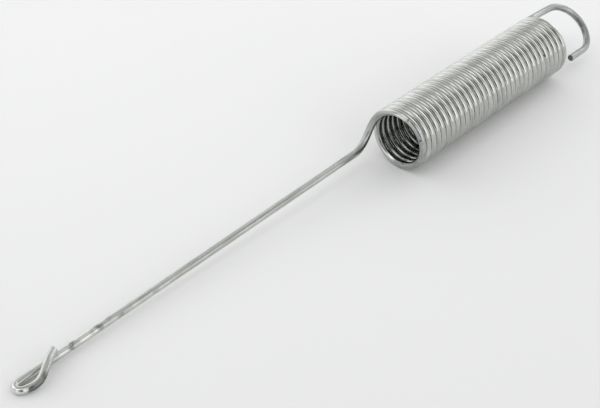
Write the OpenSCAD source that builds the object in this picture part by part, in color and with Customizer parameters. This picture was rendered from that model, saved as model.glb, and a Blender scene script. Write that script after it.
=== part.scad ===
// Close-wound extension spring bent from one length of round steel wire.
// Left end: a long straight shank that ends in a narrow closed eye.
// Right end: a leg and a wide open U hook in line with the coil axis.
// Lengths are in millimetres and angles in degrees.
// X runs along the coil axis towards the hook, Z is up, and the spring
// lies at rest with the coil and the tip of the eye on the floor.

/* [Wire] */
// Wire diameter
wire_d = 2; // [1.6:0.1:2.3]

/* [Coil] */
// Outside diameter of the coil
coil_od = 18.2; // [16:0.2:24]
// Number of turns, counted to the nearest whole turn
turns = 32; // [12:1:40]
// Clear gap between one turn and the next
turn_gap = 0.1; // [0.06:0.01:0.4]

/* [Shank] */
// Straight length between the kink and the eye's crossing
shank_len = 103.1; // [60:0.1:150]
// Angle at which the shank swings away from the coil axis
shank_splay = 1; // [0:0.1:3]
// Where the shank leaves the coil, seen from the eye end
shank_azimuth = 205; // [190:1:225]
// Bend radius between the shank and the kink
shank_bend = 8.2; // [6:0.1:10]
// Slope of the kink as it climbs round the coil
kink_slope = 14; // [10:1:30]
// Length of the sloping part of the kink
kink_run = 3; // [2:0.1:8]
// Bend radius between the kink and the first turn
kink_bend = 3; // [2.5:0.1:6]

/* [Eye] */
// Length of the eye from its crossing to its tip, on the wire's centre line
eye_len = 12.2; // [11:0.1:16]
// Width of the slot at the eye's round tip
eye_slot = 0.9; // [0.6:0.1:2]
// Angle at which the returning side opens out from the shank
eye_flare = 22; // [12:1:26]
// Angle at which the tail crosses over the shank
cross_angle = 29; // [27:1:42]
// Bend radius at the foot of the tail
cross_bend = 4; // [2.5:0.1:4.5]
// Length of the tail past the crossing
eye_tail = 0.5; // [0.4:0.1:6]
// Angle at which the tail's end is sheared off
cut_slant = 24; // [0:1:32]

/* [Hook] */
// Where the hook's leg leaves the coil, seen from the eye end
hook_azimuth = 138; // [120:1:160]
// Bend radius between the last turn and the leg
leg_bend = 3; // [2.5:0.1:4]
// How far the leg lies inside the coil's mean radius
leg_inset = 0.2; // [0:0.1:0.4]
// Length of the leg
leg_len = 8.4; // [6:0.1:14]
// Angle by which the leg leans in over its length
leg_lean = 5; // [2:1:12]
// Radius of the hook's large bend
hook_r = 8.7; // [7.5:0.1:9.5]
// Angle at which the large bend runs into the outer side
hook_turn = 85; // [75:1:95]
// Length of the hook's flatter outer side
hook_side = 6.7; // [4:0.1:8]
// Angle that the outer side turns through
side_turn = 50; // [20:1:60]
// Radius of the hook's small bend
hook_corner = 5.4; // [4:0.1:6]
// Length of the hook's straight tail
hook_tail = 6.4; // [2:0.1:8]

/* [Hidden] */

// The wire is drawn with eight flats that hold the same area as the round wire.
sides = 8;
wire_r = wire_d / 2;
corner_r = wire_r * sqrt(2 * PI / (sides * sin(360 / sides)));
flat_r = corner_r * cos(180 / sides);

// Points round one turn, the same in every turn so that no two turns meet.
per_turn = min(18, floor(600 / turns));
step = 360 / per_turn;
mean_r = (coil_od - wire_d) / 2;
// The points stand out a little so that the flats between them average mean_r.
rm = mean_r / (1 - (1 - cos(step / 2)) / 3);
pitch = wire_d + turn_gap;
helix_slope = atan(pitch / (2 * PI * mean_r));
axis_z = rm + flat_r;

// The kink and the last bend are drawn flat, as x along the axis and s round
// the coil, and then wrapped on to the coil's radius.
function wrap(x, az, r = rm) = [x, -cos(az) * r, axis_z + sin(az) * r];
function to_deg(s) = s / mean_r * 180 / PI;

// Arc lengths round the coil from the first turn back to the shank
kink_s = kink_bend * (sin(kink_slope) - sin(helix_slope));
run_s = kink_s + kink_run * cos(kink_slope);
shank_s = run_s + shank_bend * (1 - sin(kink_slope));
kink_x = kink_bend * (cos(helix_slope) - cos(kink_slope));
run_x = kink_x + kink_run * sin(kink_slope);
shank_x = run_x + shank_bend * cos(kink_slope);

// Azimuths, counted down from the first turn to the last
start_az = shank_azimuth - to_deg(shank_s);
leg_s = leg_bend * (1 - sin(helix_slope));
end_az = hook_azimuth + to_deg(leg_s);
turn_deg = 360 * turns + (start_az - end_az);
coil_len = pitch * turn_deg / 360;
helix_az = [
    start_az,
    for (a = start_az - lead(start_az); a > start_az - turn_deg + 2; a = a - step) a,
    start_az - turn_deg
];
// Angle from the first turn's start to the next shared point below it
function lead(a) = let (g = a - 270 - step * floor((a - 270) / step)) g < 2 ? g + step : g;

// Kink, from the shank to the first turn
kink_pts = concat(
    [for (i = [0:8]) let (h = 90 - (90 - kink_slope) * i / 8)
        [-run_x - shank_bend * (cos(kink_slope) - cos(h)),
         start_az + to_deg(run_s + shank_bend * (sin(h) - sin(kink_slope)))]],
    [for (i = [1:3]) let (l = kink_run * (1 - i / 3))
        [-kink_x - l * sin(kink_slope), start_az + to_deg(kink_s + l * cos(kink_slope))]],
    [for (i = [1:2]) let (h = kink_slope - (kink_slope - helix_slope) * i / 3)
        [-kink_bend * (cos(helix_slope) - cos(h)),
         start_az + to_deg(kink_bend * (sin(h) - sin(helix_slope)))]]
);
coil_pts = [for (a = helix_az) [pitch * (start_az - a) / 360, a]];
last_bend = [
    for (i = [1:7]) let (h = helix_slope + (90 - helix_slope) * i / 7)
        [coil_len + leg_bend * (cos(helix_slope) - cos(h)),
         start_az - turn_deg - to_deg(leg_bend * (sin(h) - sin(helix_slope))),
         leg_inset * (1 - cos(180 * i / 7)) / 2]
];
wound = concat(kink_pts, coil_pts, last_bend);

// Shank direction: it splays outwards and drops until the eye's tip is on the floor
shank_start = wrap(wound[0][0], wound[0][1]);
reach = shank_len + eye_len;
drop = asin((shank_start[2] - flat_r) / reach);
back = [-cos(drop) * cos(shank_splay), cos(drop) * sin(shank_splay), -sin(drop)];
across = unit(cross([0, 0, 1], back));
rise = cross(back, across);
crossing = shank_start + back * shank_len;
function unit(v) = v / norm(v);

// Eye, in its own flat frame: p away from the coil, q across, h up.
// From the crossing the tail runs straight out to a bend, then the side runs
// on to the round tip, which leads into the shank.
eye_r = (eye_slot + wire_d) / 2;
lift = wire_d + 0.12;
curl_p = eye_len - eye_r;
bend_p = cross_bend * (sin(cross_angle) + sin(eye_flare));
bend_q = cross_bend * (cos(eye_flare) - cos(cross_angle));
side_p = curl_p + eye_r * sin(eye_flare);
side_q = eye_r * (1 + cos(eye_flare));
side_len = (side_p - bend_p - (side_q - bend_q) / tan(cross_angle))
    / (cos(eye_flare) + sin(eye_flare) / tan(cross_angle));
foot_q = side_q + side_len * sin(eye_flare) - bend_q;
tail_len = foot_q / sin(cross_angle);
foot = [foot_q / tan(cross_angle), foot_q];
bend_turn = cross_angle + eye_flare;
bend_len = cross_bend * PI * bend_turn / 180;
// The tail is at its full height where it passes over the shank
level = wire_d * 0.9;
ramp = tail_len + bend_len + side_len - level;
function ease(t) = t <= 0 ? 0 : t >= 1 ? 1 : t * t * (3 - 2 * t);
// Height at a length counted from the crossing back towards the round tip
function height(l) = lift * (1 - ease((l - level) / ramp));
eye_flat = concat(
    [for (l = [-eye_tail, -eye_tail / 2, 0, level])
        [cos(cross_angle) * l, sin(cross_angle) * l, height(l)]],
    [for (i = [1:3]) let (l = level + (tail_len - level) * i / 4)
        [cos(cross_angle) * l, sin(cross_angle) * l, height(l)]],
    [for (i = [0:7]) let (a = cross_angle - bend_turn * i / 7)
        [foot[0] + cross_bend * (sin(cross_angle) - sin(a)),
         foot[1] + cross_bend * (cos(a) - cos(cross_angle)),
         height(tail_len + bend_len * i / 7)]],
    [for (i = [1:2]) let (l = side_len * i / 3)
        [foot[0] + bend_p + l * cos(eye_flare), foot[1] + bend_q - l * sin(eye_flare),
         height(tail_len + bend_len + l)]],
    [for (i = [0:12]) let (a = eye_flare + (180 - eye_flare) * i / 12)
        [curl_p + eye_r * sin(a), eye_r * (1 + cos(a)), 0]]
);
eye_pts = [for (e = eye_flat) crossing + back * e[0] + across * e[1] + rise * e[2]];
shank_pts = [for (i = [1:3]) eye_pts[len(eye_pts) - 1] * (1 - i / 4) + shank_start * i / 4];

// Hook, in the plane through the axis: x along the axis, k away from it
leg_x = last_bend[6][0];
lean_r = leg_len * 180 / (PI * leg_lean);
function turned(p, r, a0, a1) = [p[0] + r * (sin(a1) - sin(a0)), p[1] - r * (cos(a0) - cos(a1))];
h0 = [leg_x, rm - leg_inset];
h1 = turned(h0, lean_r, 0, leg_lean);
side_a = hook_turn + side_turn;
h2 = turned(h1, hook_r, leg_lean, hook_turn);
side_r = hook_side * 180 / (PI * side_turn);
h3 = turned(h2, side_r, hook_turn, side_a);
h4 = turned(h3, hook_corner, side_a, 180);
hook_flat = concat(
    [for (i = [1:3]) turned(h0, lean_r, 0, leg_lean * i / 3)],
    [for (i = [1:9]) turned(h1, hook_r, leg_lean, leg_lean + (hook_turn - leg_lean) * i / 9)],
    [for (i = [1:5]) turned(h2, side_r, hook_turn, hook_turn + side_turn * i / 5)],
    [for (i = [1:5]) turned(h3, hook_corner, side_a, side_a + (180 - side_a) * i / 5)],
    [h4 - [hook_tail, 0]]
);
hook_out = [0, -cos(hook_azimuth), sin(hook_azimuth)];
hook_side_dir = cross([1, 0, 0], hook_out);
hook_pts = [for (e = hook_flat) [e[0], 0, axis_z] + hook_out * e[1]];

// Whole centre line, and the direction in which each section's first flat faces
wound_pts = [for (w = wound) wrap(w[0], w[1], len(w) > 2 ? rm - w[2] : rm)];
line = concat(eye_pts, shank_pts, wound_pts, hook_pts);
n_eye = len(eye_pts) + 3;
n_wound = len(wound_pts);
n = len(line);
tangent = [for (i = [0:n - 1]) unit(
    i == 0 ? line[1] - line[0] :
    i == n - 1 ? line[i] - line[i - 1] :
    unit(line[i + 1] - line[i]) + unit(line[i] - line[i - 1]))];
facing = [for (i = [0:n - 1])
    i < n_eye ? rise :
    i < n_eye + n_wound ? [0, -cos(wound[i - n_eye][1]), sin(wound[i - n_eye][1])] :
    cross(hook_side_dir, tangent[i])];
// The flats turn a little along the shank, to meet those of the coil
eye_roll = 45 * round((90 - shank_azimuth) / 45);
coil_roll = 90 - shank_azimuth;
roll = [for (i = [0:n - 1])
    i < n_eye - 3 ? eye_roll :
    i < n_eye ? eye_roll + (coil_roll - eye_roll) * (i - n_eye + 4) / 4 : 0];

// One eight-sided section at each point, widened across each bend as a mitre is
function mitre(i) = i == 0 || i == n - 1 ? 1 :
    1 / sqrt((1 + unit(line[i + 1] - line[i]) * unit(line[i] - line[i - 1])) / 2);
section_pts = [for (i = [0:n - 1])
    let (t = tangent[i], a = unit(facing[i] - t * (facing[i] * t)), b = cross(t, a))
    let (ra = corner_r * (i < n_eye ? 1 : mitre(i)), rb = corner_r * (i < n_eye ? mitre(i) : 1))
    for (j = [0:sides - 1]) let (v = 360 * (j + 0.5) / sides + roll[i])
        line[i] + a * ra * cos(v) + b * rb * sin(v)
            + (i == 0 ? t * (ra * cos(v) * tan(cut_slant)) : [0, 0, 0])];
low = [for (k = [0:2]) min([for (p = section_pts) p[k]])];
high = [for (k = [0:2]) max([for (p = section_pts) p[k]])];
// The origin is moved to the middle of the spring's outline, on the floor
origin = [(low[0] + high[0]) / 2, (low[1] + high[1]) / 2, low[2]];
skin = concat(
    [[for (j = [0:sides - 1]) j]],
    [for (i = [0:n - 2], j = [0:sides - 1], k = [0:1])
        let (p = i * sides + j, q = i * sides + (j + 1) % sides, u = p + sides, w = q + sides)
        k == 0 ? [p, u, w] : [p, w, q]],
    [[for (j = [sides - 1:-1:0]) (n - 1) * sides + j]]
);

spring_wire();

// The whole spring is one bent wire, so it is one body.
module spring_wire() {
    color([0.72, 0.72, 0.7]) polyhedron(points = [for (p = section_pts) p - origin], faces = skin, convexity = 10);
}
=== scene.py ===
import bpy
import math
from mathutils import Matrix, Vector


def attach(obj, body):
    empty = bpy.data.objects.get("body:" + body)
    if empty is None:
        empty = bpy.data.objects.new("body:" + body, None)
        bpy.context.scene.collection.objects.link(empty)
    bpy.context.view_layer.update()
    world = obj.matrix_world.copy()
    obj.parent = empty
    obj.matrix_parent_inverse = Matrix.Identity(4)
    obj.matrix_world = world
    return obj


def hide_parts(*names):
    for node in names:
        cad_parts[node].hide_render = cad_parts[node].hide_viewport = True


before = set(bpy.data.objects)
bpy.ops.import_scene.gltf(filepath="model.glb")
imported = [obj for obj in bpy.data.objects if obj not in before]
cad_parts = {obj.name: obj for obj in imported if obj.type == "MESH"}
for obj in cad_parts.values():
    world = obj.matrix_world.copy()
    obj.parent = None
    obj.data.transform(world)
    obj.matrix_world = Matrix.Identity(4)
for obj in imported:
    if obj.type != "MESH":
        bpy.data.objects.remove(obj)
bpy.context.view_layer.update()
MM = 0.001

# Sizes in mm, the same as in the part's source
WIRE_R = 1.0
MEAN_R = 8.1
GAP = 0.1
TURNS = 32
LEG_IN = 0.2
HOOK_AZ = 138.0
SHANK_AZ = 205.0
SHIFT = Vector((18.8182, -0.6811, -0.0149))  # from the coil's front end to the frame's origin
FACET_RM = MEAN_R / (1 - (1 - math.cos(math.radians(10))) / 3)
AXIS_Z = FACET_RM + 0.9737

# Patches of the light tent: azimuth, elevation, full inside, nothing outside, brightness added
TENT_BASE = 1.03
TENT_POWER = 1.0
TENT = [
    (-150, 28, 14, 34, -0.58), (-168, 20, 6, 22, 0.38), (-150, 55, 8, 26, -0.29), (-130, 3, 6, 22, -0.47),
    (162, 38, 6, 20, 0.19), (160, 12, 6, 20, -0.43), (140, 30, 6, 20, -0.32), (150, 66, 8, 24, -0.33),
    (180, 62, 6, 22, 0.73), (-92, 10, 8, 26, 0.54), (-92, 34, 8, 24, 0.50), (-118, 22, 6, 20, -0.22),
    (0, 90, 8, 28, -0.25), (-10, 38, 6, 22, 0.41), (3, 12, 6, 22, 1.06), (22, 34, 6, 22, -0.23),
    (32, 12, 6, 22, 0.11), (78, 15, 8, 26, 0.48), (108, 36, 8, 26, 0.38), (80, 55, 8, 28, -0.32),
    (-40, 50, 8, 28, -0.35), (42, 56, 8, 26, -0.17),
    (-149, 32, 3, 16, -0.23), (-166, 20, 3, 16, -0.18), (-126, 44, 3, 16, -0.20), (-156, 56, 3, 16, -0.19),
    (-127, 8, 3, 16, -0.13), (-111, 20, 3, 16, -0.12), (-108, 44, 3, 16, -0.12), (-86, 32, 3, 16, -0.12),
    (-84, 56, 3, 16, -0.15), (-60, 56, 3, 16, -0.16), (-36, 44, 3, 16, -0.18), (-108, 80, 3, 16, -0.24),
    (0, 68, 3, 16, -0.15), (18, 44, 3, 16, -0.09), (-180, 68, 3, 16, -0.10), (7, 8, 3, 16, 0.12),
    (117, 32, 3, 16, 0.13), (90, 44, 3, 16, 0.13),
]

# Along the wire from the eye's tail, in mm: the coil, and marks as (place, half length, side, width, depth)
COIL_FROM = 145.4
COIL_TO = 1772.3
MARKS_AND_PAINTED_SHADE = [
    # the first two entries, on the eye's bend, are painted shade for a dark reflection there
    (9.4, 3.4, 40, 62, 1.0), (11.6, 0.9, 30, 55, 0.8), (0.5, 0.9, 200, 60, 0.5), (33.1, 0.8, 125, 50, 0.7),
    (32.4, 0.7, 185, 45, 0.85), (41.3, 0.8, 165, 50, 0.6), (40.5, 0.8, 115, 40, 0.4), (44.3, 0.8, 110, 40, 0.3),
    (47.5, 1.5, 185, 35, 0.5), (58.5, 1.6, 180, 35, 0.4), (1535.6, 0.55, 71, 45, 1.0), (161.5, 0.35, 70, 28, 0.9),
    (155.5, 0.35, 50, 28, 0.8), (1800.5, 1.2, 170, 45, 0.4), (1790.0, 1.0, 200, 45, 0.4),
]
# Painted highlights, listed the same way
PAINTED_HIGHLIGHTS = [
    (153.2, 2.2, 95, 40, 1.0), (181.3, 3.4, 130, 32, 0.6), (14.2, 2.2, 60, 55, 0.45),
    (30.0, 1.8, 162, 38, 0.6), (36.6, 2.2, 162, 38, 0.7), (39.7, 0.8, 160, 35, 0.6),
]

sin = lambda a: math.sin(math.radians(a))
cos = lambda a: math.cos(math.radians(a))
PITCH = 2 * WIRE_R + GAP
SLOPE = math.degrees(math.atan(PITCH / (2 * math.pi * MEAN_R)))


def to_deg(s):
    return math.degrees(s / MEAN_R)


def wrap(x, az):
    return Vector((x, -cos(az) * MEAN_R, AXIS_Z + sin(az) * MEAN_R))


def out_at(az):
    return Vector((0, -cos(az), sin(az)))


def centre_line():
    """Stations of the wire from the eye's tail to the hook's tail: (point, facing)."""
    kb, ks, kr, sb = 3.0, 14.0, 3.0, 8.2
    kink_s = kb * (sin(ks) - sin(SLOPE))
    run_s = kink_s + kr * cos(ks)
    shank_s = run_s + sb * (1 - sin(ks))
    kink_x = kb * (cos(SLOPE) - cos(ks))
    run_x = kink_x + kr * sin(ks)
    start = SHANK_AZ - to_deg(shank_s)
    lb = 3.0
    end = HOOK_AZ + to_deg(lb * (1 - sin(SLOPE)))
    total = 360 * TURNS + start - end
    w = []
    for i in range(25):
        h = 90 - (90 - ks) * i / 24
        w.append((-run_x - sb * (cos(ks) - cos(h)), start + to_deg(run_s + sb * (sin(h) - sin(ks)))))
    for i in range(1, 11):
        l = kr * (1 - i / 10)
        w.append((-kink_x - l * sin(ks), start + to_deg(kink_s + l * cos(ks))))
    for i in range(1, 8):
        h = ks - (ks - SLOPE) * i / 8
        w.append((-kb * (cos(SLOPE) - cos(h)), start + to_deg(kb * (sin(h) - sin(SLOPE)))))
    steps = int(total / 6)
    for i in range(steps + 1):
        a = total * i / steps
        ends = min(1, a / 300, (total - a) / 300)
        uneven = 0.022 * sin(a * 0.37 + 40) + 0.016 * sin(a * 0.83) + 0.010 * sin(a * 1.71 + 110)
        w.append((PITCH * a / 360 + uneven * ends, start - a))
    cl = PITCH * total / 360
    for i in range(1, 19):
        h = SLOPE + (90 - SLOPE) * i / 18
        w.append((cl + lb * (cos(SLOPE) - cos(h)), start - total - to_deg(lb * (sin(h) - sin(SLOPE)))))
    # the leg comes to lie a little inside the coil
    inset = [0.0] * (len(w) - 18) + [LEG_IN * (1 - cos(10 * i)) / 2 for i in range(1, 19)]
    wound = [(wrap(x, a) - out_at(a) * k, out_at(a)) for (x, a), k in zip(w, inset)]

    # Shank and eye, in the eye's own flat frame
    s0 = wound[0][0]
    shank_len, eye_len, er, ca, cb, fl, tail = 103.1, 12.2, 1.45, 29.0, 4.0, 22.0, 0.5
    drop = math.degrees(math.asin((s0.z + SHIFT.z - WIRE_R) / (shank_len + eye_len)))
    back = Vector((-cos(drop) * cos(1), cos(drop) * sin(1), -sin(drop)))
    across = Vector((0, 0, 1)).cross(back).normalized()
    rise = back.cross(across)
    cross_pt = s0 + back * shank_len
    lift = 2 * WIRE_R + 0.12
    curl = eye_len - er
    bp, bq = cb * (sin(ca) + sin(fl)), cb * (cos(fl) - cos(ca))
    side_p, side_q = curl + er * sin(fl), er * (1 + cos(fl))
    sl = (side_p - bp - (side_q - bq) / math.tan(math.radians(ca))) / (cos(fl) + sin(fl) / math.tan(math.radians(ca)))
    fq = side_q + sl * sin(fl) - bq
    fp = fq / math.tan(math.radians(ca))
    tl = fq / sin(ca)
    bl = cb * math.radians(ca + fl)
    ramp = tl + bl + sl - WIRE_R * 1.8

    def height(l):
        t = min(1, max(0, (l - WIRE_R * 1.8) / ramp))
        return lift * (1 - t * t * (3 - 2 * t))

    e = []
    for i in range(25):
        l = -tail + (tail + tl) * i / 24
        e.append((cos(ca) * l, sin(ca) * l, height(l)))
    for i in range(1, 19):
        a = ca - (ca + fl) * i / 18
        e.append((fp + cb * (sin(ca) - sin(a)), fq + cb * (cos(a) - cos(ca)), height(tl + bl * i / 18)))
    for i in range(1, 10):
        l = sl * i / 10
        e.append((fp + bp + l * cos(fl), fq + bq - l * sin(fl), height(tl + bl + l)))
    for i in range(43):
        a = fl + (180 - fl) * i / 42
        e.append((curl + er * sin(a), er * (1 + cos(a)), 0.0))
    eye = [(cross_pt + back * p + across * q + rise * h, rise) for p, q, h in e]
    tip = eye[-1][0]
    shank = [(tip.lerp(s0, i / 120), rise) for i in range(1, 120)]

    # Hook, in the plane through the axis
    def turned(p, r, a0, a1):
        return (p[0] + r * (sin(a1) - sin(a0)), p[1] - r * (cos(a0) - cos(a1)))

    h0 = (w[-1][0], MEAN_R - LEG_IN)
    lean, turn, side_end = 5.0, 85.0, 135.0
    lr = 8.4 / math.radians(lean)
    sr = 6.7 / math.radians(side_end - turn)
    h1 = turned(h0, lr, 0, lean)
    h2 = turned(h1, 8.7, lean, turn)
    h3 = turned(h2, sr, turn, side_end)
    h4 = turned(h3, 5.4, side_end, 180)
    hk = [turned(h0, lr, 0, lean * i / 12) for i in range(1, 13)]
    hk += [turned(h1, 8.7, lean, lean + (turn - lean) * i / 30) for i in range(1, 31)]
    hk += [turned(h2, sr, turn, turn + (side_end - turn) * i / 16) for i in range(1, 17)]
    hk += [turned(h3, 5.4, side_end, side_end + (180 - side_end) * i / 16) for i in range(1, 17)]
    hk += [(h4[0] - 6.4 * i / 12, h4[1]) for i in range(1, 13)]
    o = out_at(HOOK_AZ)
    hook = [(Vector((x, 0, AXIS_Z)) + o * k, None) for x, k in hk]
    return eye, shank, wound, hook


def wire_mesh(name):
    eye, shank, wound, hook = centre_line()
    pts = [p for p, _ in eye + shank + wound + hook]
    n = len(pts)
    tang = []
    for i in range(n):
        a = pts[max(0, i - 1)]
        b = pts[min(n - 1, i + 1)]
        tang.append((b - a).normalized())
    # a frame that does not twist
    ref = [None] * n
    v = wound[0][1]
    k0 = len(eye) + len(shank)
    ref[k0] = (v - tang[k0] * v.dot(tang[k0])).normalized()
    for i in range(k0 + 1, n):
        f = wound[i - k0][1] if i - k0 < len(wound) else ref[i - 1]
        ref[i] = (f - tang[i] * f.dot(tang[i])).normalized()
    for i in range(k0 - 1, -1, -1):
        f = ref[i + 1]
        ref[i] = (f - tang[i] * f.dot(tang[i])).normalized()
    SIDES = 28
    along = [0.0]
    for i in range(1, n):
        along.append(along[-1] + (pts[i] - pts[i - 1]).length)
    verts, attr = [], []

    def ring(i, centre, r):
        a = ref[i]
        b = tang[i].cross(a)
        slant = math.tan(math.radians(24)) if i == 0 else 0.0
        for j in range(SIDES):
            t = 2 * math.pi * j / SIDES
            c, s = math.cos(t), math.sin(t)
            verts.append((centre + (a * c + b * s) * r + tang[i] * slant * c * r + SHIFT) * MM)
            attr.append((along[i], c * WIRE_R, s * WIRE_R))

    # cut ends: a small worn edge, then the full round
    rings = []
    ends = ((0, 0.0, 0.86), (0, 0.05, 0.95), (0, 0.14, 0.995))
    for i, d, k in ends:
        rings.append((i, pts[i] + tang[i] * d, WIRE_R * k))
    for i in range(1, n - 1):
        rings.append((i, pts[i], WIRE_R))
    for i, d, k in reversed(ends):
        rings.append((n - 1, pts[n - 1] - tang[n - 1] * d, WIRE_R * k))
    for i, c, r in rings:
        ring(i, c, r)
    faces = []
    m = len(rings)
    for i in range(m - 1):
        for j in range(SIDES):
            p, q = i * SIDES + j, i * SIDES + (j + 1) % SIDES
            faces.append((p, q, q + SIDES, p + SIDES))
    caps = []
    for i, sign in ((0, -1), (m - 1, 1)):
        base = i * SIDES
        c = len(verts)
        src, centre, r = rings[i]
        verts.append((centre + tang[src] * sign * 0.02 + SHIFT) * MM)
        attr.append((along[src], 0.0, 0.0))
        for j in range(SIDES):
            a, b = base + j, base + (j + 1) % SIDES
            caps.append(len(faces))
            faces.append((c, b, a) if sign < 0 else (c, a, b))
    me = bpy.data.meshes.new(name)
    me.from_pydata(verts, [], faces)
    me.update()
    at = me.attributes.new("wire", "FLOAT_VECTOR", "POINT")
    for k, v in enumerate(attr):
        at.data[k].vector = v
    for p in me.polygons:
        p.use_smooth = True
    for k in caps:
        me.polygons[k].material_index = 1
        me.polygons[k].use_smooth = False
    ob = bpy.data.objects.new(name, me)
    bpy.context.scene.collection.objects.link(ob)
    return ob, along, k0


class Nodes:
    def __init__(self, name):
        self.mat = bpy.data.materials.new(name)
        self.mat.use_nodes = True
        self.t = self.mat.node_tree
        self.t.nodes.clear()

    def add(self, kind, **kw):
        nd = self.t.nodes.new(kind)
        for k, v in kw.items():
            setattr(nd, k, v)
        return nd

    def link(self, a, b):
        self.t.links.new(a, b)

    def noise(self, vec, scale, detail=3.0, rough=0.5):
        nd = self.add("ShaderNodeTexNoise")
        nd.inputs["Scale"].default_value = scale
        nd.inputs["Detail"].default_value = detail
        nd.inputs["Roughness"].default_value = rough
        self.link(vec, nd.inputs["Vector"])
        return nd.outputs["Fac"]

    def ramp(self, fac, stops):
        nd = self.add("ShaderNodeValToRGB")
        el = nd.color_ramp.elements
        while len(el) < len(stops):
            el.new(0.5)
        for e, (p, c) in zip(el, stops):
            e.position = p
            e.color = (*c, 1) if len(c) == 3 else c
        self.link(fac, nd.inputs["Fac"])
        return nd.outputs["Color"]

    def mix(self, fac, a, b, blend="MIX"):
        nd = self.add("ShaderNodeMix", data_type="RGBA", blend_type=blend)
        for s, v in ((0, fac), (6, a), (7, b)):
            if isinstance(v, (int, float)):
                nd.inputs[s].default_value = v
            elif isinstance(v, tuple):
                nd.inputs[s].default_value = (*v, 1)
            else:
                self.link(v, nd.inputs[s])
        return nd.outputs[2]

    def math(self, op, a, b=None, clamp=False):
        nd = self.add("ShaderNodeMath", operation=op, use_clamp=clamp)
        for k, v in enumerate((a, b)):
            if v is None:
                continue
            if isinstance(v, (int, float)):
                nd.inputs[k].default_value = v
            else:
                self.link(v, nd.inputs[k])
        return nd.outputs[0]

    def step(self, value, lo, hi, to=1.0, base=0.0):
        """Smooth step from base at lo to to at hi."""
        nd = self.add("ShaderNodeMapRange", interpolation_type="SMOOTHSTEP")
        self.link(value, nd.inputs["Value"])
        for k, v in (("From Min", lo), ("From Max", hi), ("To Min", base), ("To Max", to)):
            nd.inputs[k].default_value = v
        return nd.outputs["Result"]

    def spot(self, x, w, at, half, side, wide, depth):
        """A patch on the wire, used for marks, painted shade and painted highlights: at so many mm along, on the side
        (cos, sin), fading out past half and wide.
        """
        near = self.step(self.math("ABSOLUTE", self.math("SUBTRACT", x, at)), half * 0.4, half, 0.0, 1.0)
        dot = self.add("ShaderNodeVectorMath", operation="DOT_PRODUCT")
        self.link(w, dot.inputs[0])
        dot.inputs[1].default_value = (0.0, cos(side), sin(side))
        return self.math("MULTIPLY", self.math("MULTIPLY", near, self.step(dot.outputs["Value"], cos(wide), cos(wide * 0.4))), depth)

    def scaled(self, vec, sc):
        nd = self.add("ShaderNodeVectorMath", operation="MULTIPLY")
        self.link(vec, nd.inputs[0])
        nd.inputs[1].default_value = sc
        return nd.outputs[0]


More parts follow.
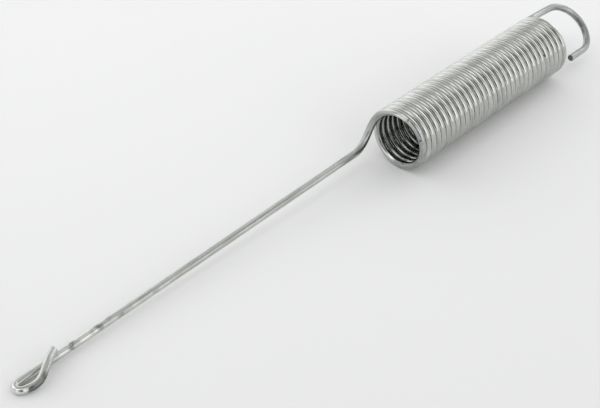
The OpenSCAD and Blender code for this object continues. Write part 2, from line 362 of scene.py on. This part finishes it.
def wire_material():
    m = Nodes("drawn_wire")
    out = m.add("ShaderNodeOutputMaterial")
    sh = m.add("ShaderNodeBsdfPrincipled")
    sh.inputs["Metallic"].default_value = 1.0
    at = m.add("ShaderNodeAttribute", attribute_name="wire")
    w = at.outputs["Vector"]
    sep = m.add("ShaderNodeSeparateXYZ")
    m.link(w, sep.inputs[0])
    x, facing = sep.outputs[0], sep.outputs[1]
    # lengthwise drawing lines, slow patches of plating and small dull specks
    lines = m.noise(m.scaled(w, (0.10, 3.2, 3.2)), 1.0, 4.0, 0.6)
    patch = m.noise(m.scaled(w, (0.35, 0.5, 0.5)), 1.0, 3.0, 0.55)
    speck = m.noise(m.scaled(w, (2.4, 3.0, 3.0)), 1.0, 2.0, 0.5)
    blotch = m.noise(m.scaled(w, (0.9, 1.1, 1.1)), 1.0, 2.0, 0.6)
    base = m.ramp(patch, [(0.30, (0.51, 0.523, 0.498)), (0.70, (0.61, 0.624, 0.596))])
    dark = m.ramp(lines, [(0.38, (0.78, 0.78, 0.78)), (0.55, (1, 1, 1))])
    col = m.mix(1.0, base, dark, "MULTIPLY")
    grime = m.ramp(speck, [(0.30, (0.62, 0.62, 0.60)), (0.40, (1, 1, 1))])
    col = m.mix(0.6, col, grime, "MULTIPLY")
    # the coil's inside is painted darker, a painted shade in the bore; the formed hook is dull and a little blue
    coil = m.math("MULTIPLY", m.step(x, COIL_FROM - 2, COIL_FROM + 6), m.step(x, COIL_TO - 4, COIL_TO + 2, 0.0, 1.0))
    inside = m.math("MULTIPLY", coil, m.step(facing, -0.15, -0.75))
    col = m.mix(inside, col, m.mix(1.0, col, (0.66, 0.67, 0.66), "MULTIPLY"))
    # the front turn also gets the dull roughness, and its darker, bluer colour there is a painted dark reflection
    first = m.math("MULTIPLY", m.step(x, COIL_FROM + 9, COIL_FROM + 16), m.step(x, COIL_FROM + 26, COIL_FROM + 36, 0.0, 0.8))
    hook = m.math("MULTIPLY", m.step(x, COIL_TO + 4, COIL_TO + 16), m.step(x, COIL_TO + 30, COIL_TO + 37, 0.35, 1.0))
    kink = m.math("MULTIPLY", m.step(x, COIL_FROM - 24, COIL_FROM - 17), m.step(x, COIL_FROM - 4, COIL_FROM + 4, 0.0, 1.0))
    streaks = m.ramp(lines, [(0.42, (0.62, 0.62, 0.62)), (0.52, (1, 1, 1))])
    col = m.mix(m.math("ADD", m.math("MULTIPLY", hook, 0.4), kink), col, m.mix(1.0, col, streaks, "MULTIPLY"))
    # dull finish on the hook and kink, and a painted dark reflection on the front turn
    dull_and_painted_shade = m.math("ADD", m.math("ADD", hook, first), m.math("MULTIPLY", kink, 0.3))
    dull_and_painted_shade = m.math("MULTIPLY", dull_and_painted_shade, m.step(blotch, 0.30, 0.62, 1.0, 0.55))
    col = m.mix(dull_and_painted_shade, col, m.mix(1.0, col, (0.60, 0.62, 0.635), "MULTIPLY"))
    # forming marks on the shank by the eye, nicks on the coil, and painted shade for a dark reflection on the eye's
    # bend
    mark_and_painted_shade = None
    ragged = m.math("ADD", x, m.math("MULTIPLY", m.math("SUBTRACT", blotch, 0.5), 2.4))
    for place in MARKS_AND_PAINTED_SHADE:
        one = m.spot(ragged if place[0] < COIL_FROM else x, w, *place)
        mark_and_painted_shade = one if mark_and_painted_shade is None else m.math("ADD", mark_and_painted_shade, one)
    mark_and_painted_shade = m.math("MULTIPLY", mark_and_painted_shade, m.step(blotch, 0.25, 0.5, 1.0, 0.6), clamp=True)
    col = m.mix(mark_and_painted_shade, col, m.mix(1.0, col, (0.30, 0.31, 0.31), "MULTIPLY"))
    # painted light: the eye and the shank by it are made lighter so the eye and its slot read brighter
    bright = m.math("MULTIPLY", m.step(x, 9, 15), m.step(x, 40, 75, 0.0, 1.0))
    col = m.mix(m.math("MULTIPLY", bright, 0.6), col, m.mix(1.0, col, (1.25, 1.25, 1.25), "MULTIPLY"))
    # painted highlights: spots on the front turn, the eye and the shank mixed towards near white
    painted_highlight = None
    for place in PAINTED_HIGHLIGHTS:
        one = m.spot(x, w, *place)
        painted_highlight = one if painted_highlight is None else m.math("ADD", painted_highlight, one)
    painted_highlight = m.math("MULTIPLY", painted_highlight, m.step(lines, 0.35, 0.50, 1.0, 0.5), clamp=True)
    col = m.mix(painted_highlight, col, (0.93, 0.94, 0.93))
    m.link(col, sh.inputs["Base Color"])
    r1 = m.math("MULTIPLY", patch, 0.08)
    r2 = m.math("MULTIPLY", lines, 0.08)
    rough = m.math("ADD", m.math("ADD", r1, r2), 0.03)
    rough = m.math("ADD", rough, m.math("MULTIPLY", m.math("ADD", kink, m.math("MULTIPLY", hook, 0.5)), 0.16))
    rough = m.math("ADD", rough, m.math("MULTIPLY", m.math("ADD", mark_and_painted_shade, dull_and_painted_shade), 0.14), clamp=True)
    m.link(rough, sh.inputs["Roughness"])
    bump = m.add("ShaderNodeBump")
    bump.inputs["Strength"].default_value = 0.25
    bump.inputs["Distance"].default_value = 0.00005
    height = m.math("ADD", lines, m.math("MULTIPLY", speck, 0.6))
    m.link(m.math("SUBTRACT", height, m.math("MULTIPLY", mark_and_painted_shade, 1.5)), bump.inputs["Height"])
    m.link(bump.outputs["Normal"], sh.inputs["Normal"])
    m.link(sh.outputs[0], out.inputs[0])
    return m.mat


def cut_material():
    m = Nodes("sheared_end")
    out = m.add("ShaderNodeOutputMaterial")
    sh = m.add("ShaderNodeBsdfPrincipled")
    sh.inputs["Metallic"].default_value = 1.0
    tc = m.add("ShaderNodeTexCoord")
    n = m.noise(m.scaled(tc.outputs["Object"], (2600, 900, 2600)), 1.0, 4.0, 0.6)
    m.link(m.ramp(n, [(0.35, (0.10, 0.10, 0.10)), (0.65, (0.26, 0.26, 0.25))]), sh.inputs["Base Color"])
    m.link(m.math("ADD", m.math("MULTIPLY", n, 0.25), 0.35), sh.inputs["Roughness"])
    bump = m.add("ShaderNodeBump")
    bump.inputs["Strength"].default_value = 0.5
    bump.inputs["Distance"].default_value = 0.0001
    m.link(n, bump.inputs["Height"])
    m.link(bump.outputs["Normal"], sh.inputs["Normal"])
    m.link(sh.outputs[0], out.inputs[0])
    return m.mat


def camera():
    cam = bpy.data.cameras.new("camera")
    ob = bpy.data.objects.new("camera", cam)
    bpy.context.scene.collection.objects.link(ob)
    right = Vector((0.665758, -0.746168, 0.0))
    up = Vector((0.440387, 0.392929, 0.807258))
    fwd = Vector((0.602350, 0.537438, -0.590198))
    rot = Matrix((right, up, -fwd)).transposed().to_4x4()
    place = Vector((-249.570, -205.782, 234.365)) * MM
    ob.matrix_world = Matrix.Translation(place) @ rot
    cam.sensor_width = 36.0
    cam.lens = 36.0 * 1531.34 / 600
    cam.clip_start = 0.01
    cam.clip_end = 20
    bpy.context.scene.camera = ob


def floor():
    me = bpy.data.meshes.new("floor")
    s = 3.0
    me.from_pydata([(-s, -s, 0), (s, -s, 0), (s, s, 0), (-s, s, 0)], [], [(0, 1, 2, 3)])
    ob = bpy.data.objects.new("floor", me)
    bpy.context.scene.collection.objects.link(ob)
    m = Nodes("pale_paper")
    out = m.add("ShaderNodeOutputMaterial")
    sh = m.add("ShaderNodeBsdfPrincipled")
    # painted light: the paper is lighter towards the far side and darker towards the near side, a painted fall-off of
    # the light
    place = m.add("ShaderNodeTexCoord")
    fall = m.add("ShaderNodeVectorMath", operation="DOT_PRODUCT")
    m.link(place.outputs["Object"], fall.inputs[0])
    fall.inputs[1].default_value = (0.2325, 0.4215, 0.0)
    light = m.step(fall.outputs["Value"], -0.06, 0.06, 0.995, 0.895)
    m.link(m.mix(1.0, light, (0.994, 1.0, 0.997), "MULTIPLY"), sh.inputs["Base Color"])
    sh.inputs["Roughness"].default_value = 0.7
    sh.inputs["Specular IOR Level"].default_value = 0.2
    m.link(sh.outputs[0], out.inputs[0])
    me.materials.append(m.mat)


def area(name, place, aim, size, power, size_y=None):
    li = bpy.data.lights.new(name, "AREA")
    li.shape = "RECTANGLE"
    li.size = size
    li.size_y = size_y or size
    li.energy = power
    ob = bpy.data.objects.new(name, li)
    bpy.context.scene.collection.objects.link(ob)
    ob.location = place
    ob.rotation_euler = (Vector(aim) - Vector(place)).to_track_quat("-Z", "Y").to_euler()
    return ob


def lights():
    """A white light tent: bright round the horizon, dimmer overhead, dark on the side it is seen from."""
    world = bpy.data.worlds.new("tent")
    world.use_nodes = True
    t = world.node_tree
    bg = t.nodes["Background"]
    tc = t.nodes.new("ShaderNodeTexCoord")
    norm = t.nodes.new("ShaderNodeVectorMath")
    norm.operation = "NORMALIZE"
    t.links.new(tc.outputs["Generated"], norm.inputs[0])

    def op(kind, a, b):
        nd = t.nodes.new("ShaderNodeMath")
        nd.operation = kind
        for k, v in enumerate((a, b)):
            if isinstance(v, (int, float)):
                nd.inputs[k].default_value = v
            else:
                t.links.new(v, nd.inputs[k])
        return nd.outputs[0]

    def lobe(az, el, inner, outer, value):
        """Smooth patch of light about a direction: full inside one angle, nothing past the other."""
        dot = t.nodes.new("ShaderNodeVectorMath")
        dot.operation = "DOT_PRODUCT"
        t.links.new(norm.outputs[0], dot.inputs[0])
        dot.inputs[1].default_value = (cos(el) * cos(az), cos(el) * sin(az), sin(el))
        ramp = t.nodes.new("ShaderNodeMapRange")
        ramp.interpolation_type = "SMOOTHSTEP"
        t.links.new(dot.outputs["Value"], ramp.inputs["Value"])
        ramp.inputs["From Min"].default_value = cos(outer)
        ramp.inputs["From Max"].default_value = cos(inner)
        ramp.inputs["To Min"].default_value = 0.0
        ramp.inputs["To Max"].default_value = value
        return ramp.outputs["Result"]

    sky = TENT_BASE
    for patch in TENT:
        sky = op("ADD", sky, lobe(*patch))
    t.links.new(sky, bg.inputs["Color"])
    bg.inputs["Strength"].default_value = TENT_POWER
    bpy.context.scene.world = world
    bpy.context.scene.view_settings.view_transform = "Standard"


wire, along, first = wire_mesh("spring_wire_round")
wire.data.materials.append(wire_material())
wire.data.materials.append(cut_material())
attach(wire, "root")
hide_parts("spring_wire")
camera()
floor()
lights()
